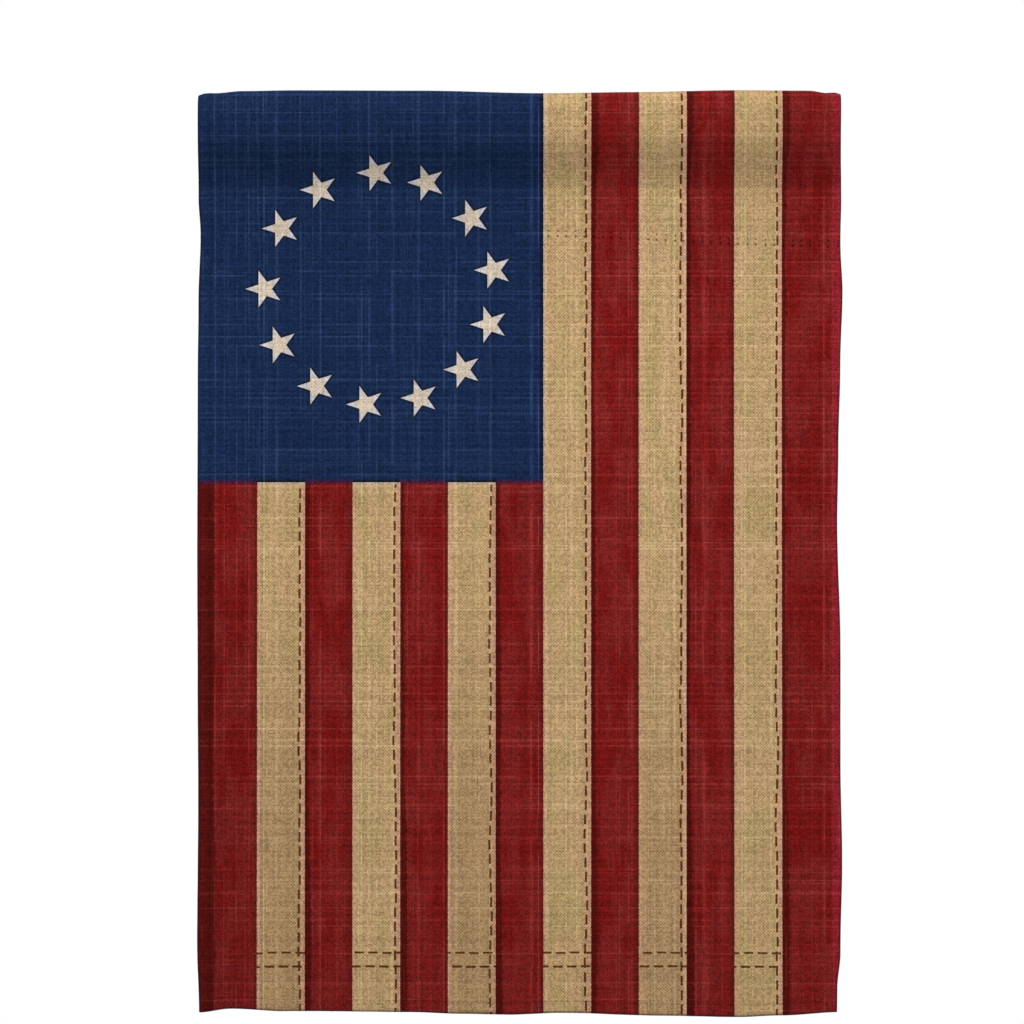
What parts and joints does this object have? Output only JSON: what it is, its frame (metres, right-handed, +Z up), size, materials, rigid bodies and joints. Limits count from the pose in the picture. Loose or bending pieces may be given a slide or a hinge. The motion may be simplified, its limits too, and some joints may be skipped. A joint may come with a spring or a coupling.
{
  "type": "garden flag with rod sleeve",
  "caption": "Hanging cloth garden flag with a sewn rod sleeve along its top, hemmed sides and bottom, upright printed stripes and a starred canton.",
  "frame": {"origin": "middle of the top fold, where the flag hangs from its rod", "axes": "+Z up, +X to the right of someone who faces the printed side, -Y out of the printed side"},
  "size_m": [0.3295, 0.0219, 0.4732],
  "materials": {
    "printed_cloth": "matt coarse plain weave, printed",
    "sewing_thread": "fine spun thread, matt"
  },
  "bodies": {
    "root": {"rod_sleeve": "printed_cloth", "flag_field": "printed_cloth"}
  },
  "joints": []
}
